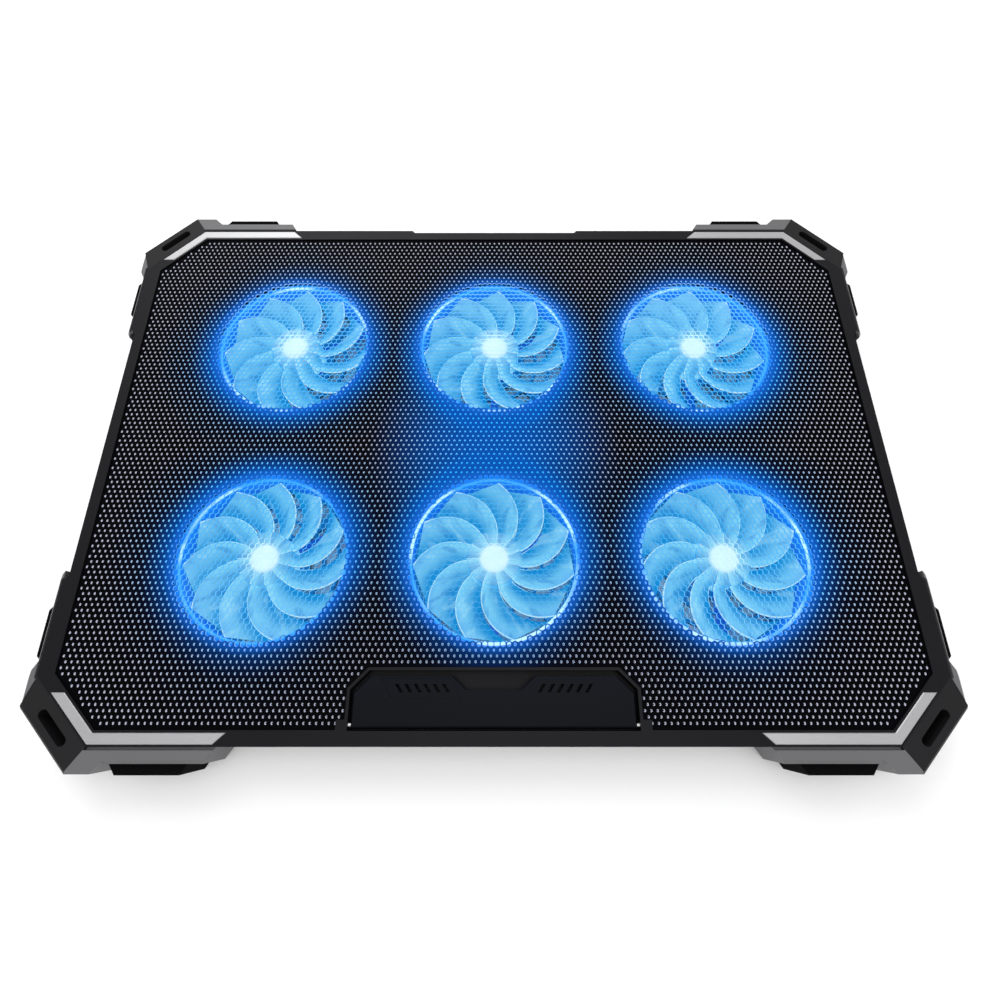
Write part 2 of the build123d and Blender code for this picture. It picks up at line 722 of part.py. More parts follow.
# ---- controls ----------------------------------------------------------------------
with BuildPart() as control_board:
    with BuildSketch(Plane.XY.offset(board_bottom)):
        with Locations((0, (board_front + board_rear) / 2)):
            Rectangle(2 * board_half, board_rear - board_front)
    extrude(amount=board_thickness)
    # A controller chip and six wire sockets along the front edge.
    with BuildSketch(Plane.XY.offset(board_top)):
        with Locations((-24, 116.5)):
            Rectangle(7, 7)
    extrude(amount=1.2)
    with BuildSketch(Plane.XY.offset(board_top)):
        with Locations((0, board_front + 3)):
            with GridLocations(12, 0, 6, 1):
                Rectangle(7.0, 4.5)
    extrude(amount=4.0)
save(control_board.part, "control_board")

for index, x in enumerate(usb_centres, start=1):
    with BuildPart() as usb_port:
        port_mouth = bay_face - usb_set_back
        port_height = board_top + usb_height / 2
        with BuildSketch(Plane.XZ.offset(-port_mouth)):
            with Locations((x, port_height)):
                RectangleRounded(usb_width, usb_height, 0.8)
        extrude(amount=usb_depth)
        with BuildSketch(Plane.XZ.offset(-port_mouth)):
            with Locations((x, port_height)):
                RectangleRounded(usb_width - 2 * usb_shell, usb_height - 2 * usb_shell, 0.5)
        extrude(amount=usb_depth - 1.5, mode=Mode.SUBTRACT)
        with BuildSketch(Plane.XZ.offset(-port_mouth + tongue_set_back)):
            with Locations((x, port_height + 0.9)):
                Rectangle(11.0, 1.8)
        extrude(amount=usb_depth - tongue_set_back)
    save(usb_port.part, f"usb_port_{index}")

with BuildPart() as dial_control:
    with BuildSketch(Plane.XY.offset(board_top)):
        with Locations(dial_centre):
            Rectangle(9.0, 9.0)
    extrude(amount=0.8)
    with BuildSketch(Plane.XY.offset(board_top + 0.8)):
        with Locations(dial_centre):
            Circle(2.0)
    extrude(amount=dial_bottom + dial_thickness - 0.6 - board_top - 0.8)
save(dial_control.part, "speed_control")

with BuildPart() as dial:
    with BuildSketch(Plane.XY.offset(dial_bottom)):
        with Locations(dial_centre):
            Circle(dial_radius)
            with PolarLocations(dial_radius + 0.25, dial_teeth):
                Circle(0.55, mode=Mode.SUBTRACT)
            Circle(2.0 + running, mode=Mode.SUBTRACT)
    extrude(amount=dial_thickness)
save(dial.part, "speed_dial")

with BuildPart() as power_switch:
    with BuildSketch(Plane.XY.offset(board_top)):
        with Locations((button_x, button_back - 1.0)):
            Rectangle(8.0, 6.0)
    extrude(amount=5.8)
    with BuildSketch(Plane.XZ.offset(-button_back - 2.0)):
        with Locations((button_x, button_middle)):
            Circle(1.3)
    extrude(amount=4.5, mode=Mode.SUBTRACT)
save(power_switch.part, "power_switch")

with BuildPart() as power_button:
    with BuildSketch(Plane.XZ.offset(-bay_face - 1.2)):
        with Locations((button_x, button_middle)):
            RectangleRounded(button_width, button_height, 1.0)
    extrude(amount=4.4)
    chamfer(power_button.faces().sort_by(Axis.Y)[-1].edges(), length=0.3)
    with BuildSketch(Plane.XZ.offset(-button_flange)):
        with Locations((button_x, button_middle)):
            Rectangle(button_width + 2.4, button_height)
    extrude(amount=1.0)
    with BuildSketch(Plane.XZ.offset(-button_flange)):
        with Locations((button_x, button_middle)):
            Circle(1.2)
    extrude(amount=button_flange - button_back)
save(power_button.part, "power_button")

# ---- fan wires: side fans along both aisles, middle fans in between -----------------
wire_height = floor_top + wire_radius + 0.3
side_routes = [
    [(65.3, 62.0), (61.0, 84.0), (52.0, 98.0), (42.0, 104.5)],
    [(65.3, -55.0), (60.5, -8.0), (57.0, 40.0), (55.5, 78.0), (45.0, 97.0), (18.0, 104.5)],
]
wire_routes = [[(side * x, y, wire_height) for x, y in route] for route in side_routes for side in (-1, 1)]
wire_routes += [
    [(-6.5, 102.4, wire_height), (-7.0, 104.8, wire_height), (-6.5, 107.0, wire_height)],
    [(x, y, wire_height + 2.2) for x, y in ((42.9, -55.0), (47.5, -20.0), (47.0, 20.0), (48.5, 60.0),
                                            (43.0, 92.0), (30.0, 101.5), (8.0, 103.5))],
]
with BuildPart() as fan_wires:
    for route in wire_routes:
        with BuildLine() as wire_path:
            Spline(*route)
        with BuildSketch(Plane(origin=wire_path.line @ 0, z_dir=wire_path.line % 0)):
            Circle(wire_radius)
        sweep(path=wire_path.line)
save(fan_wires.part, "fan_wires")
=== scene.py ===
# %% [markdown]
# # A laptop cooling pad, finished in Blender
#
# The pad is a flat case with six lit fans under a perforated steel deck. Its frame, fans, hinges
# and screws arrive as exact solids from the CAD step. This lesson adds what CAD does badly: the
# thousands of holes in the deck, the light inside the fans, and a surface finish for every piece.
# Lengths are in metres. X runs to the right, Y to the rear and Z up.

from math import pi, radians, sqrt, tan

import bpy
import numpy as np
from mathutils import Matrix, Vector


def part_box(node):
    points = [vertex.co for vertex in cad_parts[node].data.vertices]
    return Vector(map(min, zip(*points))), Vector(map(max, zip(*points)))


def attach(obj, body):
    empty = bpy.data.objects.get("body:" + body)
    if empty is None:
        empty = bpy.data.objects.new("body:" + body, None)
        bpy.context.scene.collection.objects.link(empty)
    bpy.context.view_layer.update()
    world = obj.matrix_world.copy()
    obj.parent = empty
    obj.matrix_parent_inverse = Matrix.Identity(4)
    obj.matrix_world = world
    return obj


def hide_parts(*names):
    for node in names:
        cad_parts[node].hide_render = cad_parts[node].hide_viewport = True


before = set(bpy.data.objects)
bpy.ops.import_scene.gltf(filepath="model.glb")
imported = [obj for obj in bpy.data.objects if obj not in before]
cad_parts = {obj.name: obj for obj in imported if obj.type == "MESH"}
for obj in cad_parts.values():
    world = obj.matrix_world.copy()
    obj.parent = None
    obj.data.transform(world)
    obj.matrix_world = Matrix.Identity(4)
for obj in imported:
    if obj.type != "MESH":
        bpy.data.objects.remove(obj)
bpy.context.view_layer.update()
mm = 0.001
print("CAD nodes:", len(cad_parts))

# %% [markdown]
# These sizes are read from the CAD boxes, so the finish follows the frame if the frame changes.
# A fan's centre is the middle of its rotor hub, and one fan's ring gives the radius of the lit area.

# %% Measure the frame
deck_low, deck_high = (np.array(corner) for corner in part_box("mesh_panel"))
case_top = float(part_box("top_frame")[1][2])
stop_low, stop_high = (np.array(corner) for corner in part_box("front_stop"))
frame_low, frame_high = (np.array(corner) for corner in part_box("fan_3_frame"))
ring_radius = float(frame_high[0] - frame_low[0]) / 2
fan_top = float(frame_high[2])
fan_centres = np.array([np.mean(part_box(f"fan_{number}_stator"), axis=0)[:2] for number in range(1, 7)])
fan_x = float(fan_centres[2, 0])
rows_middle = float(fan_centres[:, 1].mean())
fan_y = float(fan_centres[0, 1]) - rows_middle
print("fan pitch", round(fan_x, 4), round(2 * fan_y, 4), "ring radius", round(ring_radius, 4))

# %% [markdown]
# ## Shader maths as Python
#
# A material is a graph of nodes, which is slow to read as code. A small wrapper round a socket lets
# the maths be written as it is on paper: `1 - mask * 0.5` adds the Math nodes by itself.

# %% A socket that can be calculated with


class Value:
    """One output socket of a finish, with the usual operators."""

    def __init__(self, finish, socket):
        self.finish = finish
        self.socket = socket

    def maths(self, operation, *others):
        """Any operation of the Math node, with this socket first and up to two others after it."""
        sockets = dict(enumerate((self, *others)))
        return self.finish.node("ShaderNodeMath", {"operation": operation}, sockets)

    def __add__(self, other):
        return self.maths("ADD", other)

    def __mul__(self, other):
        return self.maths("MULTIPLY", other)

    def __sub__(self, other):
        return self.maths("SUBTRACT", other)

    def __rsub__(self, other):
        return self.finish.node("ShaderNodeMath", {"operation": "SUBTRACT"}, {0: other, 1: self})

    def __truediv__(self, other):
        return self.maths("DIVIDE", other)

    __radd__ = __add__
    __rmul__ = __mul__

    def smooth(self, low, high):
        """0 below low, 1 above high, and an S-shaped step between them."""
        sockets = {"Value": self, "From Min": low, "From Max": high}
        return self.finish.node("ShaderNodeMapRange", {"interpolation_type": "SMOOTHSTEP"}, sockets)


print("ready:", Value.__doc__)

# %% [markdown]
# The material itself is an object too. It starts with the object coordinates split into X, Y and Z,
# adds any node in one call, and ends with one Principled surface.
#
# All six fans need the same light. Folding the coordinates takes a point to the nearest fan: X is
# divided by the distance between columns and rounded, and the sign of Y says which row it is in.

# %% A material built by calls


class Finish:
    """A material whose nodes are added by method calls."""

    def __init__(self, name):
        self.material = bpy.data.materials.new(name)
        self.material.use_nodes = True
        self.tree = self.material.node_tree
        self.tree.nodes.clear()
        self.point = self.node("ShaderNodeTexCoord", out="Object")
        self.x, self.y, self.z = (
            self.node("ShaderNodeSeparateXYZ", sockets={0: self.point}, out=axis) for axis in "XYZ"
        )

    def node(self, kind, settings=None, sockets=None, out=0):
        """Adds a node, applies its settings, feeds its sockets and returns one output."""
        made = self.tree.nodes.new(kind)
        for name, value in (settings or {}).items():
            setattr(made, name, value)
        for name, value in (sockets or {}).items():
            if isinstance(value, Value):
                self.tree.links.new(value.socket, made.inputs[name])
            else:
                made.inputs[name].default_value = value
        return Value(self, made.outputs[out])

    def noise(self, scale, detail=3.0, stretch=None):
        """Cloudy noise from 0 to 1 that repeats about scale times a metre."""
        point = self.point
        if stretch:
            point = self.node("ShaderNodeMapping", sockets={"Vector": point, "Scale": stretch})
        sockets = {"Vector": point, "Scale": scale, "Detail": detail}
        return self.node("ShaderNodeTexNoise", sockets=sockets)

    def mix(self, factor, first, second):
        """first where factor is 0 and second where it is 1."""
        sockets = {0: factor, 6: first, 7: second}
        return self.node("ShaderNodeMix", {"data_type": "RGBA"}, sockets, out=2)

    def bump(self, height, distance):
        """A normal tilted as if the surface rose by distance where height is 1."""
        return self.node("ShaderNodeBump", sockets={"Height": height, "Distance": distance})

    def surface(self, **sockets):
        """Ends the material with one Principled surface. Underscores stand for spaces."""
        named = {name.replace("_", " "): value for name, value in sockets.items()}
        shader = self.node("ShaderNodeBsdfPrincipled", sockets=named)
        end = self.tree.nodes.new("ShaderNodeOutputMaterial")
        self.tree.links.new(shader.socket, end.inputs["Surface"])
        return self.material

    def fan_polar(self):
        """Distance and angle from the nearest fan's axis: X is folded by columns and Y by rows."""
        column = (self.x / fan_x).maths("ROUND").maths("MAXIMUM", -1.0).maths("MINIMUM", 1.0)
        across = self.x - column * fan_x
        from_middle = self.y - rows_middle
        along = from_middle - from_middle.maths("SIGN") * fan_y
        return (across * across + along * along).maths("SQRT"), along.maths("ARCTAN2", across)


print("ready:", Finish.__doc__)

# %% [markdown]
# Colours are easiest to choose as the eye sees them, from 0 to 255, but a renderer adds up light in
# linear shares. The conversion is the usual curve, with a straight piece near black.

# %% Colours


def rgb(red, green, blue):
    """A colour from 0 to 255 values as the eye sees them, made linear for the renderer."""
    shares = [value / 255 for value in (red, green, blue)]
    return (*(c / 12.92 if c < 0.0405 else ((c + 0.055) / 1.055) ** 2.4 for c in shares), 1.0)


def scaled(colour, factor, lift=0.0):
    """The same colour made lighter or darker by a factor, and raised a little."""
    return (*(min(1.0, c * factor + lift) for c in colour[:3]), 1.0)


black = rgb(0, 0, 0)
print("188 of 255 looks like three quarters, but in light it is", round(rgb(188, 0, 0)[0], 2))

# %% [markdown]
# ## Moulded plastic
#
# The case is injection moulded in a spark-eroded tool, which leaves a fine, even grain. The grain is
# a bump at two scales. Handling polishes it in broad patches, so roughness follows a slow noise, and
# the colour drifts by a few per cent in the same way.

# %% Moulded plastic and rubber


def moulded(name, colour, roughness, grain=0.05, grain_scale=1800.0, drift=0.25, shine=0.3):
    """Grained plastic: colour and roughness drift slowly, and fine noise gives the grain."""
    finish = Finish(name)
    patches = finish.noise(28.0, 4.0)
    fine = finish.noise(grain_scale, 2.0)
    lighter = scaled(colour, 1 + drift, lift=0.002)
    darker = scaled(colour, 1 - drift)
    height = fine + finish.noise(grain_scale / 4, 2.0) * 0.6
    return finish.surface(
        Base_Color=finish.mix(patches * 0.6 + fine * 0.4, darker, lighter),
        Roughness=roughness - 0.08 + patches * 0.16,
        Specular_IOR_Level=shine,
        Normal=finish.bump(height, grain * mm),
    )


bezel_plastic = moulded("bezel_plastic", rgb(13, 13, 18), 0.42, grain=0.03, shine=0.12)
case_plastic = moulded("case_plastic", rgb(15, 15, 18), 0.58, grain=0.06, grain_scale=1200.0, shine=0.2)
block_plastic = moulded("block_plastic", rgb(24, 24, 26), 0.50, grain=0.05, shine=0.15)
armour_plastic = moulded("armour_plastic", rgb(96, 96, 98), 0.44, grain=0.05, drift=0.10)
leg_plastic = moulded("leg_plastic", rgb(34, 34, 36), 0.55, grain=0.06)
control_plastic = moulded("control_plastic", rgb(44, 44, 47), 0.48)
component_plastic = moulded("component_plastic", rgb(22, 22, 23), 0.35, grain=0.02)
bumper_rubber = moulded("bumper_rubber", rgb(5, 5, 6), 0.78, grain=0.09, grain_scale=900.0, shine=0.03)
wire_rubber = moulded("wire_rubber", rgb(28, 28, 30), 0.45)
print("moulded finishes made")

# %% [markdown]
# The floor of the case is the same plastic, but the fans stand on it and light it from above. Its
# finish glows only where two masks overlap: one is on within a fan's ring, and one is on near the
# inner face, so the outside of the floor stays dark.

# %% Floor of the case


def lit_cover():
    """The bottom cover: grained plastic whose inside glows blue where it lies under a fan."""
    finish = Finish("lit_cover")
    patches = finish.noise(28.0, 4.0)
    fine = finish.noise(1200.0, 2.0)
    under_fan = 1 - finish.fan_polar()[0].smooth(ring_radius - 3 * mm, ring_radius)
    floor_top = float(frame_low[2])
    inside = finish.z.smooth(floor_top - 1.2 * mm, floor_top - 0.1 * mm)
    return finish.surface(
        Base_Color=finish.mix(patches * 0.6 + fine * 0.4, rgb(12, 12, 14), rgb(19, 19, 22)),
        Roughness=0.5 + patches * 0.16,
        Specular_IOR_Level=0.2,
        Emission_Color=finish.mix(under_fan * inside, black, rgb(16, 112, 196)),
        Emission_Strength=0.8,
        Normal=finish.bump(fine, 0.06 * mm),
    )


cover_plastic = lit_cover()
print("made", cover_plastic.name)

# %% [markdown]
# The front stop is a darker, bluish plastic. Blue light from the nearest fans grazes it, so a weak
# blue emission rises towards its rear edge.

# %% Stop plate finish


def stop_finish():
    """Satin navy plastic with a hint of blue light from behind."""
    finish = Finish("stop_plastic")
    patches = finish.noise(40.0, 4.0)
    fine = finish.noise(2200.0, 2.0)
    near = finish.y.smooth(float(stop_low[1]), float(stop_high[1]))
    return finish.surface(
        Base_Color=finish.mix(patches, rgb(5, 6, 10), rgb(9, 11, 17)),
        Roughness=0.36 + patches * 0.14,
        Specular_IOR_Level=0.07,
        Emission_Color=finish.mix(near, black, rgb(3, 7, 18)),
        Emission_Strength=0.5,
        Normal=finish.bump(fine, 0.02 * mm),
    )


stop_plastic = stop_finish()
print("made", stop_plastic.name)

# %% [markdown]
# ## Metals
#
# The corner strips are brushed along their length. Fine noise that is twelve times longer one way
# than the others reads as brushing, and it drives both the roughness and a very small bump.

# %% Metal finishes


def brushed(name, colour, roughness, stretch, metallic=1.0):
    """Metal with long scratches: noise squeezed across the brushing direction."""
    finish = Finish(name)
    lines = finish.noise(260.0, 5.0, stretch=stretch)
    patches = finish.noise(35.0, 3.0)
    return finish.surface(
        Base_Color=finish.mix(lines * 0.7 + patches * 0.3, scaled(colour, 0.72), colour),
        Metallic=metallic,
        Roughness=roughness - 0.1 + lines * 0.14 + patches * 0.08,
        Normal=finish.bump(lines, 0.015 * mm),
    )


trim_metal = brushed("trim_metal", rgb(186, 186, 188), 0.40, (1.0, 12.0, 12.0), metallic=0.75)
pin_metal = brushed("pin_metal", rgb(196, 196, 198), 0.28, (12.0, 1.0, 12.0))
screw_metal = brushed("screw_metal", rgb(90, 90, 94), 0.34, (3.0, 3.0, 3.0))
port_metal = brushed("port_metal", rgb(190, 190, 186), 0.30, (1.0, 1.0, 8.0))
copper = brushed("winding_copper", rgb(196, 116, 66), 0.35, (4.0, 4.0, 30.0))
print("metal finishes made")

# %% [markdown]
# ## Light
#
# The fans are moulded in clear blue plastic round white lights, so light fills the hub, runs along
# the blades and leaves at the rim. Tracing light through eleven clear blades is slow and noisy. A
# glow that is worked out from the distance to the fan's axis looks the same and works for all six
# fans, because the distance is folded by rows and columns.
#
# To light the front edge of each blade, the finish has to know where a point lies across its blade.
# A blade leans further round as it goes out, so its edge is a curve in distance and angle.

# %% Where a point lies on its blade
blade_count = 11
root_radius_mm = 12.4
lean_per_mm = radians(0.602)
extra_lean_per_mm = radians(0.03202)


def blade_phase(finish):
    """Distance, angle and phase, which is 0 on a blade's front edge and 1 at the next blade's edge.

    The edge leans by a rate times the distance from the root, plus a second rate times its square.
    Taking that off the angle and counting in parts of a turn, one for each blade, leaves the phase.
    """
    radius, angle = finish.fan_polar()
    reach = radius * 1000 - root_radius_mm
    lean = reach * lean_per_mm + reach * reach * extra_lean_per_mm
    turns = (angle - lean) * (blade_count / (2 * pi)) + 0.5
    return radius, angle, turns.maths("FRACT")


def outward_streaks(finish, radius, angle):
    """Noise that varies quickly round the axis and slowly along the radius, so it runs outwards."""
    place = finish.node(
        "ShaderNodeCombineXYZ",
        sockets={0: angle.maths("COSINE") * 6.0, 1: angle.maths("SINE") * 6.0, 2: radius * 90.0},
    )
    return finish.node("ShaderNodeTexNoise", sockets={"Vector": place, "Scale": 1.0, "Detail": 3.0})


print("angle between blades:", round(360 / blade_count, 1), "degrees")

# %% [markdown]
# A lit blade is built up in layers, each mixed over the last by a mask from 0 to 1: the fade behind
# the edge, which is painted shade of the next blade, a dimmer tip, light and dark rays of painted glint
# and painted shade, the bright edge, and the white core with its halo.

# %% Lit blades


def lit_blades():
    """Blue plastic: each blade has a bright front edge and fades into painted shade behind it, and the
    core is white.
    """
    finish = Finish("lit_blades")
    radius, angle, phase = blade_phase(finish)
    cloud = finish.noise(110.0, 4.0)
    streaks = finish.noise(420.0, 2.0)
    glint_and_shade_rays = outward_streaks(finish, radius, angle)
    # Painted shade: each blade darkens behind its front edge, where the next blade shades it.
    shade_behind_edge = phase.smooth(0.04, 0.95) * 1.05 + cloud * 0.7 - 0.4
    near_blade = finish.mix(shade_behind_edge, rgb(124, 208, 240), rgb(10, 138, 206))
    tip = radius.smooth(22 * mm, 38 * mm) * (1 - phase.smooth(0.0, 0.5))
    blade = finish.mix(tip * 0.5 + streaks * 0.1, near_blade, rgb(54, 142, 222))
    # Painted glints and painted shade: light and dark streaks run outwards over the blades.
    blade = finish.mix(glint_and_shade_rays.smooth(0.54, 0.72) * 0.4, blade, rgb(170, 232, 250))
    blade = finish.mix((1 - glint_and_shade_rays.smooth(0.3, 0.46)) * 0.5, blade, rgb(0, 112, 190))
    edge = 1 - phase.smooth(0.015, 0.065)
    edged = finish.mix(edge * 0.9, blade, rgb(196, 240, 250))
    core = 1 - radius.smooth(5.5 * mm, 8 * mm)
    halo = 1 - radius.smooth(6 * mm, 18 * mm)
    glow = finish.mix(halo * 0.4, edged, rgb(150, 224, 246))
    glow = finish.mix(core, glow, rgb(204, 240, 250))
    return finish.surface(
        Base_Color=finish.mix(cloud, rgb(4, 26, 52), rgb(10, 42, 74)),
        Roughness=0.22 + cloud * 0.12,
        Emission_Color=glow,
        Emission_Strength=0.95,
        Normal=finish.bump(streaks, 0.01 * mm),
    )


blade_light = lit_blades()
print("made", blade_light.name)

# %% [markdown]
# The rest of a fan needs three quieter finishes: the frame that carries the light outwards, the thin
# rim where it leaves, and the diffusers over the lights themselves.

# %% Lit frames, rims and diffusers


def lit_frame():
    """The clear fan frame carries light from the hub to a bright rim, and is dim near the floor."""
    finish = Finish("lit_frame")
    radius = finish.fan_polar()[0]
    cloud = finish.noise(120.0, 3.0)
    rim = radius.smooth(ring_radius - 5 * mm, ring_radius - 2 * mm)
    high = finish.z.smooth(fan_top - 13 * mm, fan_top)
    low_light = finish.mix(rim, rgb(6, 70, 170), rgb(12, 96, 206))
    return finish.surface(
        Base_Color=finish.mix(cloud, rgb(8, 44, 110), rgb(16, 66, 140)),
        Roughness=0.25 + cloud * 0.1,
        Emission_Color=finish.mix(high * rim, low_light, rgb(30, 132, 240)),
        Emission_Strength=0.9,
        Normal=finish.bump(finish.noise(500.0, 2.0), 0.01 * mm),
    )


def rim_light():
    """The bright edge of a fan: white where the light leaves, blue in between, in slow waves."""
    finish = Finish("rim_light")
    waves = finish.noise(34.0, 1.0).smooth(0.48, 0.66)
    cloud = finish.noise(300.0, 2.0)
    colour = finish.mix(waves, rgb(34, 136, 240), rgb(196, 238, 252))
    return finish.surface(
        Base_Color=rgb(40, 120, 200),
        Roughness=0.3 + cloud * 0.1,
        Emission_Color=colour,
        Emission_Strength=1.0,
    )


def white_light(name, colour, edge, strength):
    """A diffuser over white lights: bright with a slight cloudiness."""
    finish = Finish(name)
    cloud = finish.noise(260.0, 3.0)
    return finish.surface(
        Base_Color=finish.mix(cloud, scaled(edge, 0.15), scaled(edge, 0.21)),
        Roughness=0.35 + cloud * 0.1,
        Emission_Color=finish.mix(cloud, edge, colour),
        Emission_Strength=strength,
    )


frame_light = lit_frame()
ring_light = rim_light()
hub_light = white_light("hub_light", rgb(222, 246, 253), rgb(196, 236, 250), 0.85)
print("lit finishes made")

# %% [markdown]
# ## The perforated deck
#
# A texture of holes looks flat from the side and hides nothing, and Boolean cuts by the thousand are
# slow and fragile. The sheet is a honeycomb of cells instead: a six-sided plate round a six-sided
# hole, on a staggered grid. All cells are one array calculation. The punched edge of each hole slopes,
# so it catches the studio light, and its finish adds a painted highlight, so it reads as a bright dot.
# Over the fans the holes open up into a fine wire net that shows the blades.
#
# Every piece of this lesson becomes a Blender mesh through one function. It takes whole arrays and
# hands them over with foreach_set, which is much faster than adding faces one by one.

# %% Make a mesh from arrays


def without_repeats(corners, counts, slots):
    """Drops a corner that equals the next round its polygon, then polygons with under three left."""
    starts = np.cumsum(counts) - counts
    following = np.arange(len(corners)) + 1
    following[starts + counts - 1] = starts
    polygon = np.repeat(np.arange(len(counts)), counts)
    distinct = corners != corners[following]
    left = np.bincount(polygon[distinct], minlength=len(counts))
    whole = left > 2
    return corners[distinct & whole[polygon]], left[whole], slots[whole]


def mesh_piece(name, points, corners, counts, materials, slots=None, smooth=False):
    """Puts points and polygons into a new mesh. corners lists point numbers, counts polygon sizes.

    Points that fall together are merged, so the quads round a pole turn into triangles.
    """
    points, kept = np.unique(np.round(points, 7), axis=0, return_inverse=True)
    slots = np.zeros(len(counts)) if slots is None else slots
    corners, counts, slots = without_repeats(kept.reshape(-1)[corners], counts, slots)
    mesh = bpy.data.meshes.new(name)
    mesh.vertices.add(len(points))
    mesh.vertices.foreach_set("co", points.astype(np.float32).ravel())
    mesh.loops.add(len(corners))
    mesh.loops.foreach_set("vertex_index", corners.astype(np.int32))
    mesh.polygons.add(len(counts))
    starts = np.concatenate(([0], np.cumsum(counts)[:-1]))
    mesh.polygons.foreach_set("loop_start", starts.astype(np.int32))
    for material in materials:
        mesh.materials.append(material)
    mesh.polygons.foreach_set("material_index", slots.astype(np.int32))
    mesh.polygons.foreach_set("use_smooth", np.full(len(counts), smooth))
    mesh.update(calc_edges=True)
    mesh.validate()
    piece = bpy.data.objects.new(name, mesh)
    bpy.context.scene.collection.objects.link(piece)
    print(name, "-", len(mesh.polygons), "faces")
    return piece


def ring_of_quads(first, second, around=1):
    """Joins matching closed rings of points with quads. around is the axis that follows the rings."""
    sides = (first, np.roll(first, -1, around), np.roll(second, -1, around), second)
    return np.stack(sides, axis=2).reshape(-1, 4)


doubled = without_repeats(np.array([0, 1, 1, 2]), np.array([4]), np.zeros(1))
print("a quad with one doubled corner becomes a polygon of", doubled[1][0])

# %% [markdown]
# The blue light of the fans spills on to the sheet. How much reaches a point depends mainly on its
# distance from the nearest ring, so the shares of light are worked out in one function, for every
# finish that needs them.

# %% Light that falls on the deck
spill_width = 18 * mm
spill_reach = 34 * mm


def spill(finish):
    """Four shares of light on the deck: close to a fan, its faint reach, the rim's band and the net.

    Each is a smooth step down with the distance from the nearest fan's axis. Fans light each other's
    surroundings, so the first two are weaker towards the front and rear edges and a round pool of
    light is added between the middle pair. The distance is returned last.
    """
    radius = finish.fan_polar()[0]
    from_rows = (finish.y - rows_middle).maths("ABSOLUTE")
    inner = 1 - from_rows.smooth(fan_y - 20 * mm, fan_y + 46 * mm) * 0.65
    beside = 1 - radius.smooth(ring_radius - 3 * mm, ring_radius + spill_width)
    centre = (finish.x * finish.x + finish.y * finish.y * 0.8).maths("SQRT")
    middle = 1 - centre.smooth(6 * mm, 66 * mm)
    near = (beside * beside * inner + middle * 0.9).maths("MINIMUM", 1.0)
    reach = (1 - radius.smooth(ring_radius, ring_radius + spill_reach)) * inner
    far = (reach * 0.65 + near * 0.4).maths("MINIMUM", 1.0)
    band = (1 - radius.smooth(ring_radius - 1 * mm, ring_radius + 3.5 * mm)) * inner.maths("SQRT")
    net = 1 - radius.smooth(ring_radius - 4 * mm, ring_radius - 2 * mm)
    return near, far, band, net, radius


def over_fans(finish, on_deck, band, net, radius):
    """The sheet's light over the fans: a blue band on the rim, and a net as bright as the blades."""
    blade_like = finish.mix(radius.smooth(5 * mm, 12 * mm), rgb(206, 241, 251), rgb(66, 170, 228))
    banded = finish.mix(band * 0.85, on_deck, rgb(18, 104, 214))
    return finish.mix(net, banded, blade_like)


print("strong light to", round(spill_width * 1000), "mm, faint to", round(spill_reach * 1000), "mm")

# %% [markdown]
# The sheet has two finishes, the black coat on its flats and the bare steel in its holes.

# %% Deck finishes


def deck_face():
    """Black powder coat on the flat of the sheet, lit blue by the fans."""
    finish = Finish("deck_coat")
    fine = finish.noise(2600.0, 2.0)
    patches = finish.noise(22.0, 4.0)
    near, far, band, net, radius = spill(finish)
    on_deck = finish.mix(near, finish.mix(far, black, rgb(0, 12, 44)), rgb(0, 88, 190))
    return finish.surface(
        Base_Color=finish.mix(patches, rgb(2, 2, 4), rgb(5, 5, 8)),
        Roughness=0.5 + patches * 0.15,
        Specular_IOR_Level=0.02,
        Emission_Color=over_fans(finish, on_deck, band, net, radius),
        Emission_Strength=0.9,
        Normal=finish.bump(fine, 0.02 * mm),
    )


def punched_edge():
    """The bright sloping edge of each hole: bare steel with a painted highlight, and painted blue light
    near the fans.
    """
    finish = Finish("punched_edge")
    fine = finish.noise(900.0, 2.0)
    near, far, band, net, radius = spill(finish)
    # Painted light: far from the fans a grey glow stands in for a glint of the studio light on the
    # steel,
    # and near them it turns to the fans' blue light. The base colour turns blue near the fans for the
    # same light.
    glint_and_blue_light = finish.mix(far, rgb(96, 98, 110), rgb(84, 184, 226))
    on_deck = finish.mix(near, glint_and_blue_light, rgb(20, 176, 250))
    return finish.surface(
        Base_Color=finish.mix(far, rgb(184, 186, 196), rgb(70, 120, 156)),
        Roughness=0.38 + fine * 0.12,
        Emission_Color=over_fans(finish, on_deck, band, net, radius),
        Emission_Strength=0.9,
    )


coat = deck_face()
punched = punched_edge()
print("deck finishes made")

# %% [markdown]
# Real sheets of this kind are punched on a staggered grid, with rows a little closer than columns.
# The holes are taller than wide, and the bars of the net over the fans are what wire_share leaves.
# The net begins a little inside each fan's ring and opens up over net_blend. The sheet stops short of
# the recess for the front stop, which has two cut corners.

# %% Sheet sizes
pitch = 2.67 * mm
row_pitch = 2.48 * mm
hole_across = 0.50 * mm
hole_along = 0.66 * mm
hole_taper = 0.45
wire_share = 0.973
side_cut = 22.5 * mm
stop_margin_x = stop_high[0] + 2.4 * mm
stop_margin_y = stop_high[1] + 3.2 * mm
stop_cut = 7.9 * mm
net_inset = 1.0 * mm
net_blend = 1.6 * mm
sheet_thickness = 0.8 * mm
sheet_top = deck_high[2]
sheet_bottom = sheet_top - sheet_thickness
print("holes to a row:", round((deck_high[0] - deck_low[0]) / pitch))

# %% [markdown]
# A cell that crosses the edge of the sheet isn't cut. Its corners are moved on to the edge, which
# keeps the mesh closed because neighbours move a shared corner to the same place. The same trick in
# reverse pushes corners out of the recess.

# %% Keep points on the sheet


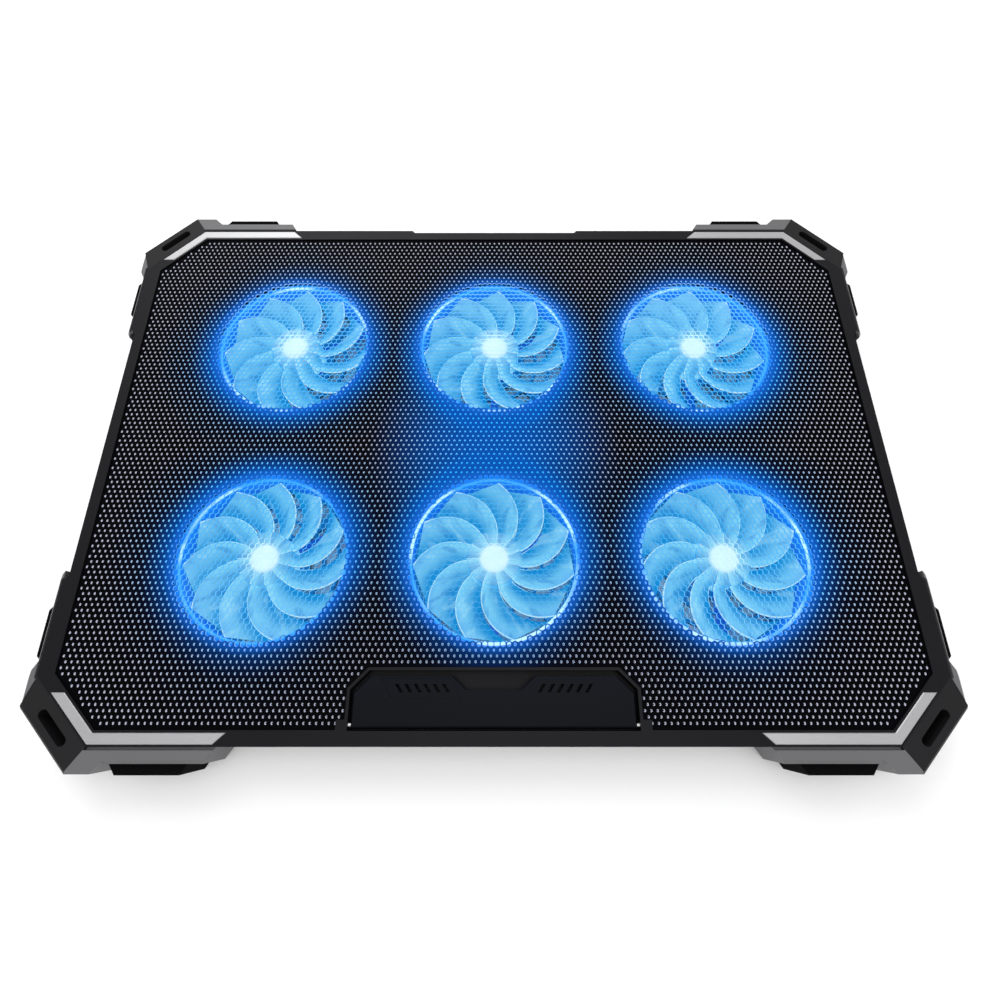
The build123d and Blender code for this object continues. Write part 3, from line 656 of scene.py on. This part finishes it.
def into_outline(points):
    """Moves points inside the sheet's outline: X and Y are limited, then x + y at the cut corners."""
    across = np.clip(points[..., 0], deck_low[0], deck_high[0])
    along = np.clip(points[..., 1], deck_low[1], deck_high[1])
    limit = deck_high[0] + deck_high[1] - side_cut
    excess = np.clip(np.abs(across) + np.abs(along) - limit, 0, None) / 2
    across = across - np.sign(across) * excess
    along = along - np.sign(along) * excess
    return np.stack((across, along), axis=-1)


def depth_in_recess(points):
    """How far each point is inside the recess of the front stop: the least distance to its sides."""
    side = stop_margin_x - np.abs(points[..., 0])
    rear = stop_margin_y - points[..., 1]
    chamfer = (side + rear - stop_cut) / sqrt(2)
    return side, rear, chamfer, np.minimum(np.minimum(side, rear), chamfer)


def out_of_recess(points):
    """Pushes points that fall in the recess out through its nearest side."""
    side, rear, chamfer, depth = depth_in_recess(points)
    inside = depth > 0
    by_side = inside & (side <= rear) & (side <= chamfer)
    by_rear = inside & (rear < side) & (rear <= chamfer)
    by_cut = inside & ~by_side & ~by_rear
    moved = points.copy()
    moved[..., 0] += np.where(by_side, np.sign(points[..., 0]) * side, 0)
    moved[..., 1] += np.where(by_rear, rear, 0)
    moved[..., 0] += np.where(by_cut, np.sign(points[..., 0]) * chamfer / sqrt(2), 0)
    moved[..., 1] += np.where(by_cut, chamfer / sqrt(2), 0)
    return moved


def past_outline(points):
    """How far each point has to move to come inside the sheet's outline."""
    return np.abs(points - into_outline(points)).max(axis=1)


print("sheet:", np.round((deck_high - deck_low) * 1000, 1), "mm")

# %% [markdown]
# The grid is laid out over more than the sheet, and then the cells that lie off it are dropped. A
# cell keeps its hole only if its middle is at least a millimetre inside every edge, which leaves some
# metal round the hole.

# %% Lay out the cells
overhang = 1.2 * mm
least_inside = 1.0 * mm
row_grid, column_grid = np.meshgrid(np.arange(-60, 61), np.arange(-80, 81), indexing="ij")
centres = np.stack(((column_grid + 0.5 * (row_grid % 2)) * pitch, row_grid * row_pitch), axis=-1)
centres = centres.reshape(-1, 2)
centres = centres[(past_outline(centres) < overhang) & (depth_in_recess(centres)[3] < overhang)]
pushed_out = centres * (1 + least_inside / np.abs(centres).clip(least_inside))
has_hole = (past_outline(pushed_out) < 1e-6) & (depth_in_recess(centres)[3] < -least_inside)
print("cells:", len(centres), "with a hole:", int(has_hole.sum()))

# %% [markdown]
# A cell is six-sided, because that is the shape of the region nearest to one point of a staggered
# grid. Its hole has six corners too, so plate and hole can be joined corner to corner.

# %% Shape of one cell


def nearest_fan(points):
    """Distance from each point to the closest fan axis."""
    offsets = points[:, None, :] - fan_centres[None, :, :]
    return np.sqrt((offsets**2).sum(axis=2)).min(axis=1)


def cell_rings(cells):
    """Three rings of six points in plan for every cell: its outline and its hole, above and below.

    The outline is the six-sided region that is nearer to this hole than to any other. Far from the
    fans the hole is a small tapered oval, and within a fan's ring it grows to nearly the outline.
    """
    lift = (row_pitch**2 - pitch**2 / 4) / (2 * row_pitch)
    half = pitch / 2
    tall = row_pitch - lift
    left = [(0, tall), (-half, lift), (-half, -lift)]
    outline = np.array(left + [(-x, -y) for x, y in left])
    angles = radians(90) + np.arange(6) * pi / 3
    oval = np.stack((np.cos(angles) * hole_across, np.sin(angles) * hole_along), axis=1)
    into_net = ring_radius - net_inset - nearest_fan(cells)
    opening = np.clip(into_net / net_blend, 0, 1)[:, None, None]
    middles = cells[:, None, :]
    outer = out_of_recess(into_outline(middles + outline[None]))
    wide = outline[None] * wire_share * opening
    upper = middles + wide + oval[None] * (1 - opening)
    lower = middles + wide + oval[None] * hole_taper * (1 - opening)
    return outer, upper, lower


holes = cell_rings(centres[has_hole])[1]
heights = np.ptp(holes[..., 1], axis=1) * 1000
print("holes from", round(float(heights.min()), 2), "to", round(float(heights.max()), 2), "mm tall")

# %% [markdown]
# In height a cell has four rings: the top and bottom of its plate, and the top and bottom of its
# hole. Quads join them. A lone edge, one that only a single cell has, gets a wall down to the
# underside, and that closes the sheet along its outside.

# %% Build part of the sheet


def level(flat, height):
    """Gives rings of points in plan a height, as one long list."""
    return np.concatenate((flat, np.full(flat.shape[:2] + (1,), height)), axis=2).reshape(-1, 3)


def edge_walls(points, top, bottom):
    """Quads from each lone edge of the top plates down to the edge below it."""
    merged = np.unique(np.round(points, 7), axis=0, return_inverse=True)[1].reshape(-1)
    edges = np.stack((top, np.roll(top, -1, 1)), axis=2).reshape(-1, 2)
    below = np.stack((bottom, np.roll(bottom, -1, 1)), axis=2).reshape(-1, 2)
    pairs = np.sort(merged[edges], axis=1)
    single, first, count = np.unique(pairs, axis=0, return_index=True, return_counts=True)
    lone = first[(count == 1) & (single[:, 0] != single[:, 1])]
    return np.stack((edges[lone, 1], edges[lone, 0], below[lone, 0], below[lone, 1]), axis=1)


def sheet_quarter(name, cells, holed):
    """Cells of one quarter: top plate, sloping hole wall and underside, closed along the edge."""
    outer, upper, lower = cell_rings(cells)
    points = np.concatenate((level(outer, sheet_top), level(upper, sheet_top),
                             level(lower, sheet_bottom), level(outer, sheet_bottom)))
    top, hole_top, hole_bottom, bottom = np.arange(len(points)).reshape(4, len(cells), 6)
    plate = ring_of_quads(top[holed], hole_top[holed])
    hole_wall = ring_of_quads(hole_top[holed], hole_bottom[holed])
    underside = ring_of_quads(hole_bottom[holed], bottom[holed])
    quads = np.concatenate((plate, hole_wall, underside, edge_walls(points, top, bottom)))
    plain = np.concatenate((top[~holed], bottom[~holed][:, ::-1]))
    corners = np.concatenate((quads.ravel(), plain.ravel()))
    counts = np.concatenate((np.full(len(quads), 4), np.full(len(plain), 6)))
    slots = np.zeros(len(counts))
    slots[len(plate):len(plate) + len(hole_wall)] = 1
    return mesh_piece(name, points, corners, counts, [coat, punched], slots)


print("ready:", sheet_quarter.__doc__)

# %% [markdown]
# The sheet is made as four quarters, which keeps each mesh to a fair size. Together they replace the
# plain sheet of the frame. The dividing lines are a little off the middle, so no cell's middle lies
# on one.

# %% The four quarters
divide = -0.1 * pitch
on_right = centres[:, 0] >= divide
at_rear = centres[:, 1] >= divide
for side, right in (("left", False), ("right", True)):
    for end, rear in (("front", False), ("rear", True)):
        chosen = (on_right == right) & (at_rear == rear)
        quarter = sheet_quarter(f"deck_{end}_{side}", centres[chosen], has_hole[chosen])
        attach(quarter, "case")
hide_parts("mesh_panel")

# %% [markdown]
# ## Light rings and hub caps
#
# Each fan is edged by a thin bright ring, and its hub has a domed diffuser over the lights. Both are
# profiles turned round the fan's axis: the profile is a short list of radius and height, and the
# angle is the second parameter.

# %% Turn a profile


def turned(name, profile, centre, material, steps=96, closed=False):
    """Carries (radius, height) round a vertical axis: x = r cos t, y = r sin t."""
    angles = np.arange(steps) * 2 * pi / steps
    ring = np.stack((np.cos(angles), np.sin(angles)), axis=1)
    flat = ring[:, None, :] * profile[None, :, :1] + centre
    height = np.broadcast_to(profile[None, :, 1:], (steps, len(profile), 1))
    points = np.concatenate((flat, height), axis=2).reshape(-1, 3)
    numbers = np.arange(len(points)).reshape(steps, len(profile))
    here = numbers if closed else numbers[:, :-1]
    above = np.roll(numbers, -1, 1) if closed else numbers[:, 1:]
    quads = ring_of_quads(here, above, around=0)
    return mesh_piece(name, points, quads.ravel(), np.full(len(quads), 4), [material], smooth=True)


print("ready:", turned.__doc__)

# %% [markdown]
# The ring's section is a flattened circle that closes on itself. The cap's section is a quarter of
# an ellipse from the rim to the top, with one more point below the middle that closes its underside.

# %% Sections of the ring and the cap
ring_middle = ring_radius - 2.7 * mm
ring_height = fan_top + 0.35 * mm
angle = np.arange(10) * 2 * pi / 10
ring_section = np.stack(
    (ring_middle + 0.75 * mm * np.cos(angle), ring_height + 0.45 * mm * np.sin(angle)), axis=1
)
hub_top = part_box("fan_1_rotor")[1][2]
lens_radius = 6.4 * mm
lens_rise = 1.2 * mm
lens_base = hub_top - 0.2 * mm
angle = np.linspace(0.0, pi / 2, 7)
dome = np.stack((lens_radius * np.cos(angle), lens_base + lens_rise * np.sin(angle)), axis=1)
lens_section = np.vstack(([0.0, lens_base], dome))
print("ring radius", round(ring_middle * 1000, 1), "mm, cap radius", round(lens_radius * 1000, 1), "mm")

# %% [markdown]
# The ring stays with the case, and the cap turns with its rotor.

# %% Rings and caps
for number, centre in enumerate(fan_centres, start=1):
    ring = turned(f"fan_{number}_light_ring", ring_section, centre, ring_light, closed=True)
    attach(ring, "case")
    lens = turned(f"fan_{number}_hub_lens", lens_section, centre, hub_light, steps=48)
    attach(lens, f"rotor_{number}")

# %% [markdown]
# ## Small fittings at the rear
#
# A socket is only convincing with its gold contacts, and a power button with its status light. They
# are tiny, so each is one rounded bar: a superellipse, which is a circle whose powers are raised
# until it is nearly a rectangle, carried along X with its ends drawn in.

# %% Rounded bars


def rounded_bar(name, centre, size, material, power=5.0):
    """A bar along X. Y and Z follow |y|^p + |z|^p = 1, and the end sections shrink to close it."""
    steps = 20
    angle = np.arange(steps) * 2 * pi / steps
    ring = np.stack((np.cos(angle), np.sin(angle)), axis=1)
    ring = np.sign(ring) * np.abs(ring) ** (2 / power)
    along = np.array([-1.0, -1.0, -0.96, -0.8, 0.8, 0.96, 1.0, 1.0])
    share = np.array([0.0, 0.8, 0.96, 1.0, 1.0, 0.96, 0.8, 0.0])
    section = ring[None, :, :] * share[:, None, None]
    lengthways = np.broadcast_to(along[:, None, None], (len(along), steps, 1))
    points = np.concatenate((lengthways, section), axis=2)
    points = (points * np.array(size) / 2 + np.array(centre)).reshape(-1, 3)
    numbers = np.arange(len(points)).reshape(len(along), steps)
    quads = ring_of_quads(numbers[:-1], numbers[1:])
    return mesh_piece(name, points, quads.ravel(), np.full(len(quads), 4), [material], smooth=True)


print("ready:", rounded_bar.__doc__)

# %% [markdown]
# A USB socket has four contacts in a row on its tongue. They are plated with gold, because gold
# doesn't tarnish and the plug has to make good contact every time.

# %% Gold contacts
gold = brushed("contact_gold", rgb(214, 168, 84), 0.25, (3.0, 1.0, 3.0))
contact_size = (1.1 * mm, 6.5 * mm, 0.16 * mm)
contact_pitch = 2.3 * mm
contact_depth = 8.4 * mm
for number in (1, 2):
    low, high = (np.array(corner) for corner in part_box(f"usb_port_{number}"))
    middle = (low + high) / 2
    mouth = high[1]
    for strip in range(4):
        contact_x = middle[0] + (strip - 1.5) * contact_pitch
        place = (contact_x, mouth - contact_depth, middle[2] - contact_size[2] / 2)
        contact = rounded_bar(f"usb_{number}_contact_{strip + 1}", place, contact_size, gold)
        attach(contact, "case")

# %% [markdown]
# The status light is a round lens beside the power button. With a power of 2 the superellipse is a
# plain circle. The button stands out from the rear face, so the face is found from the button's box.

# %% Status light
status_light = white_light("status_light", rgb(90, 190, 255), rgb(50, 150, 250), 1.6)
bay_low, bay_high = (np.array(corner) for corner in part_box("power_button"))
button_stands_out = 1.2 * mm
face_y = bay_high[1] - button_stands_out
button_x = (bay_low[0] + bay_high[0]) / 2
button_z = (bay_low[2] + bay_high[2]) / 2
place = (button_x + 8.2 * mm, face_y + 0.15 * mm, button_z)
lamp = rounded_bar("status_lens", place, (2.0 * mm, 0.7 * mm, 2.0 * mm), status_light, power=2.0)
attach(lamp, "case")

# %% [markdown]
# A minus and a plus on either side of the dial say which way is faster. They are printed in pale
# paint, and here each stroke is a flat bar.

# %% Marks beside the dial
mark_paint = moulded("mark_paint", rgb(150, 152, 156), 0.5, grain=0.02, drift=0.05)
dial_low, dial_high = (np.array(corner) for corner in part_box("speed_dial"))
dial_x = (dial_low[0] + dial_high[0]) / 2
marks_z = dial_high[2] + 2.4 * mm
mark_offset = 10.6 * mm
level_stroke = np.array((2.6, 0.3, 0.5)) * mm
upright_stroke = np.array((0.5, 0.3, 2.6)) * mm
marks = (
    ("minus_bar", dial_x - mark_offset, level_stroke),
    ("plus_bar", dial_x + mark_offset, level_stroke),
    ("plus_upright", dial_x + mark_offset, upright_stroke),
)
for name, mark_x, size in marks:
    mark = rounded_bar(f"dial_{name}", (mark_x, face_y, marks_z), size, mark_paint)
    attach(mark, "case")

# %% [markdown]
# ## Finishes for the CAD pieces
#
# One finish is left to make, for the circuit board: straight tracks that show faintly through green
# solder mask.

# %% Circuit board


def board_finish():
    """Green solder mask over copper tracks: a sine of X makes straight, evenly spaced lines."""
    finish = Finish("circuit_board")
    tracks = (finish.x * 900.0).maths("SINE").smooth(0.75, 0.95)
    cloud = finish.noise(150.0, 3.0)
    return finish.surface(
        Base_Color=finish.mix(tracks * 0.6 + cloud * 0.2, rgb(10, 58, 30), rgb(30, 104, 58)),
        Roughness=0.3 + cloud * 0.15,
        Normal=finish.bump(tracks, 0.03 * mm),
    )


board_green = board_finish()
print("made", board_green.name)

# %% [markdown]
# The CAD meshes stay exactly as they are. Only their material slots are filled, from a table that
# goes from the start of a node's name to its finish. The parts of a fan are told apart by how their
# names end.

# %% Assign finishes
finishes = {
    "bottom_cover": cover_plastic,
    "middle_frame": case_plastic,
    "top_frame": bezel_plastic,
    "corner_armour": armour_plastic,
    "corner_block": block_plastic,
    "corner_trim": trim_metal,
    "corner_foot": bumper_rubber,
    "front_stop": stop_plastic,
    "stop_pins": pin_metal,
    "rear_leg": leg_plastic,
    "leg_pad": bumper_rubber,
    "leg_pin": pin_metal,
    "control_board": board_green,
    "speed_control": component_plastic,
    "power_switch": component_plastic,
    "speed_dial": control_plastic,
    "power_button": control_plastic,
    "usb_port": port_metal,
    "fan_screws": screw_metal,
    "case_screws": screw_metal,
    "fan_wires": wire_rubber,
    "fan_light_rings": hub_light,
}


def finish_of(node):
    """The finish of a CAD node, from its name."""
    if node.endswith("_rotor"):
        return blade_light
    if node.endswith("_stator"):
        return copper
    if node.endswith("_frame") and node.startswith("fan"):
        return frame_light
    return next((finish for start, finish in finishes.items() if node.startswith(start)), None)


for name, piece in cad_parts.items():
    finish = finish_of(name)
    if finish is not None:
        piece.data.materials.clear()
        piece.data.materials.append(finish)
print("finished CAD nodes:", sum(finish_of(n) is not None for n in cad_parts))

# %% [markdown]
# ## Floor, light and camera
#
# A pale floor reaches far past the pad under a white sky, which gives the even light of a packshot.

# %% Floor and sky
floor_finish = Finish("floor_finish")
floor_white = floor_finish.mix(floor_finish.noise(3.0), rgb(251, 251, 251), rgb(254, 254, 254))
floor_material = floor_finish.surface(Base_Color=floor_white, Roughness=0.9)
floor_reach = 3.0
corners = np.array([(-1, -1, 0), (1, -1, 0), (1, 1, 0), (-1, 1, 0)]) * floor_reach
floor = mesh_piece("floor", corners, np.arange(4), np.array([4]), [floor_material])

world = bpy.data.worlds.new("studio")
world.use_nodes = True
sky = world.node_tree.nodes["Background"]
sky.inputs["Color"].default_value = (1.0, 1.0, 1.0, 1.0)
sky.inputs["Strength"].default_value = 0.86
bpy.context.scene.world = world
bpy.context.scene.view_settings.view_transform = "Standard"

# %% [markdown]
# Two large soft lights shape the pad. The one behind it draws highlights along the rims, and the one
# overhead brightens the flats a little.

# %% Lights


def soft_light(name, place, turn, size, power):
    """A square light at place, turned by X, Y and Z angles in degrees."""
    data = bpy.data.lights.new(name, "AREA")
    data.size = size
    data.energy = power
    lamp = bpy.data.objects.new(name, data)
    lamp.location = place
    lamp.rotation_euler = [radians(angle) for angle in turn]
    bpy.context.scene.collection.objects.link(lamp)


soft_light("rear_light", (-0.25, 0.75, 0.8), (-45, -15, 0), 0.8, 5.0)
soft_light("top_light", (0.1, -0.1, 1.3), (0, 0, 0), 0.9, 3.5)
print("lights:", len(bpy.data.lights))

# %% [markdown]
# The camera is wide and close. It stands a little in front of the middle and looks steeply down,
# which is why the pad narrows towards the rear. The height and the tilt give its distance in front
# of the point it looks at.

# %% Camera
camera_data = bpy.data.cameras.new("camera")
camera_data.lens = 19.89
camera_data.sensor_width = 36.0
camera_data.clip_start = 0.01
camera = bpy.data.objects.new("camera", camera_data)
tilt_down = radians(70)
camera_height = 0.2488
look_at = (0.0009, -0.0274)
camera_y = look_at[1] - camera_height / tan(tilt_down)
camera.location = (look_at[0], camera_y, case_top + camera_height)
camera.rotation_euler = (pi / 2 - tilt_down, 0, 0)
bpy.context.scene.collection.objects.link(camera)
bpy.context.scene.camera = camera
print("camera at", [round(value, 3) for value in camera.location])

# %% [markdown]
# The last cell prints that the script has run to its end.

# %% Finish
print("script finished")
